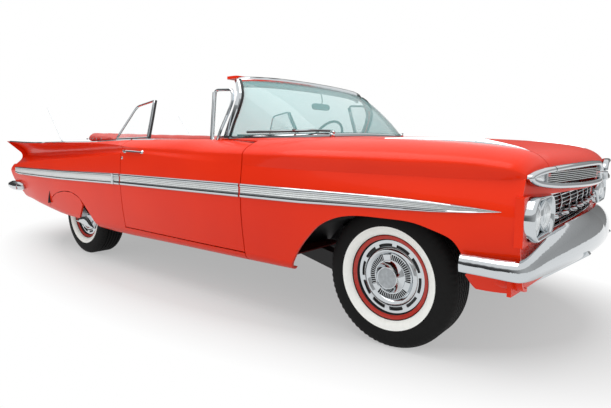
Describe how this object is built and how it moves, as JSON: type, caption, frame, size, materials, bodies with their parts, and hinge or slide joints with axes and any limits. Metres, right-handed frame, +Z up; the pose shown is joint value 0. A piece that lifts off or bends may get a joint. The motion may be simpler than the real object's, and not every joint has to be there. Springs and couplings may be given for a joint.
{
  "type": "1950s two-door convertible car",
  "caption": "Open two-door 1950s car with tail fins, wide chrome bumpers, a wraparound windshield, bench seats and a folded top under a cover.",
  "frame": {"origin": "on the ground, under the centre of the car's bounding box", "axes": "+Z up, the front of the car faces -Y, the car's own left side is +X; the body mirrors about X = 0"},
  "size_m": [2.028, 5.1805, 1.421],
  "materials": {
    "red_paint": "gloss",
    "chrome": "polished",
    "clear_glass": "clear",
    "lamp_glass": "clear",
    "red_lens": "gloss",
    "tyre": "matte",
    "wheel_chrome": "polished",
    "frame_black": "satin",
    "cast_metal": "matte",
    "tank_metal": "satin",
    "seat_leather": "satin",
    "boot_cover": "matte",
    "steering_plastic": "gloss"
  },
  "bodies": {
    "car_body": {"fender_left": "red_paint", "fender_right": "red_paint", "rocker_panels": "red_paint", "quarter_left": "red_paint", "quarter_right": "red_paint", "fender_skirts": "red_paint", "cowl": "red_paint", "rear_deck": "red_paint", "chassis_frame": "frame_black", "floor_pan": "frame_black", "wheelhouses": "frame_black", "engine_block": "cast_metal", "radiator": "frame_black", "fuel_tank": "tank_metal", "exhaust": "tank_metal", "rear_axle": "cast_metal", "front_suspension": "cast_metal", "windshield_glass": "clear_glass", "windshield_frame": "chrome", "quarter_windows": "clear_glass", "front_panel": "red_paint", "headlamps": "lamp_glass", "headlamp_bezels": "chrome", "grille": "chrome", "front_bumper": "chrome", "rear_bumper": "chrome", "tail_panel": "red_paint", "taillamps": "red_lens", "intake_bezels": "chrome", "dashboard": "red_paint", "steering_column": "frame_black", "front_seat": "seat_leather", "rear_seat": "seat_leather", "top_boot": "boot_cover", "antennas": "chrome", "rear_mirror": "chrome", "wipers": "chrome"},
    "door_left": {"door_left": "red_paint", "door_handle_left": "chrome", "vent_window_left": "clear_glass"},
    "door_right": {"door_right": "red_paint", "door_handle_right": "chrome", "vent_window_right": "clear_glass"},
    "hood": {"hood": "red_paint", "hood_bezels": "chrome"},
    "trunk_lid": {"trunk_lid": "red_paint"},
    "steering_wheel": {"steering_wheel": "steering_plastic"},
    "knuckle_left": {"knuckle_left": "cast_metal"},
    "knuckle_right": {"knuckle_right": "cast_metal"},
    "wheel_front_right": {"rim_front_right": "wheel_chrome", "tyre_front_right": "tyre"},
    "wheel_front_left": {"rim_front_left": "wheel_chrome", "tyre_front_left": "tyre"},
    "wheel_rear_right": {"rim_rear_right": "wheel_chrome", "tyre_rear_right": "tyre"},
    "wheel_rear_left": {"rim_rear_left": "wheel_chrome", "tyre_rear_left": "tyre"}
  },
  "joints": [
    {"name": "door_left_hinge", "type": "hinge", "parent": "car_body", "child": "door_left", "pos_m": [0.992, -0.878, 0.65], "axis": [0, 0, -1], "range_deg": [0, 65]},
    {"name": "door_right_hinge", "type": "hinge", "parent": "car_body", "child": "door_right", "pos_m": [-0.992, -0.878, 0.65], "axis": [0, 0, 1], "range_deg": [0, 65]},
    {"name": "hood_hinge", "type": "hinge", "parent": "car_body", "child": "hood", "pos_m": [0, -1.23, 1.03], "axis": [-1, 0, 0], "range_deg": [0, 48]},
    {"name": "trunk_hinge", "type": "hinge", "parent": "car_body", "child": "trunk_lid", "pos_m": [0, 1.4965, 0.958], "axis": [1, 0, 0], "range_deg": [0, 60]},
    {"name": "steer_left", "type": "hinge", "parent": "car_body", "child": "knuckle_left", "pos_m": [0.69, -1.797, 0.342], "axis": [0, 0, 1], "range_deg": [-33, 33]},
    {"name": "steer_right", "type": "hinge", "parent": "car_body", "child": "knuckle_right", "pos_m": [-0.69, -1.797, 0.342], "axis": [0, 0, 1], "range_deg": [-33, 33]},
    {"name": "steering_turn", "type": "hinge", "parent": "car_body", "child": "steering_wheel", "pos_m": [0.4, -0.477, 0.984], "axis": [0, 0.8829, 0.4695], "range_deg": [-792, 792]},
    {"name": "roll_front_left", "type": "hinge", "parent": "knuckle_left", "child": "wheel_front_left", "pos_m": [0.77, -1.797, 0.342], "axis": [1, 0, 0], "continuous": true},
    {"name": "roll_front_right", "type": "hinge", "parent": "knuckle_right", "child": "wheel_front_right", "pos_m": [-0.77, -1.797, 0.342], "axis": [1, 0, 0], "continuous": true},
    {"name": "roll_rear_left", "type": "hinge", "parent": "car_body", "child": "wheel_rear_left", "pos_m": [0.755, 1.225, 0.342], "axis": [1, 0, 0], "continuous": true},
    {"name": "roll_rear_right", "type": "hinge", "parent": "car_body", "child": "wheel_rear_right", "pos_m": [-0.755, 1.225, 0.342], "axis": [1, 0, 0], "continuous": true}
  ],
  "couplings": [
    {"joint": "steer_right", "follows": "steer_left", "ratio": 1},
    {"joint": "steering_turn", "follows": "steer_left", "ratio": 24}
  ]
}
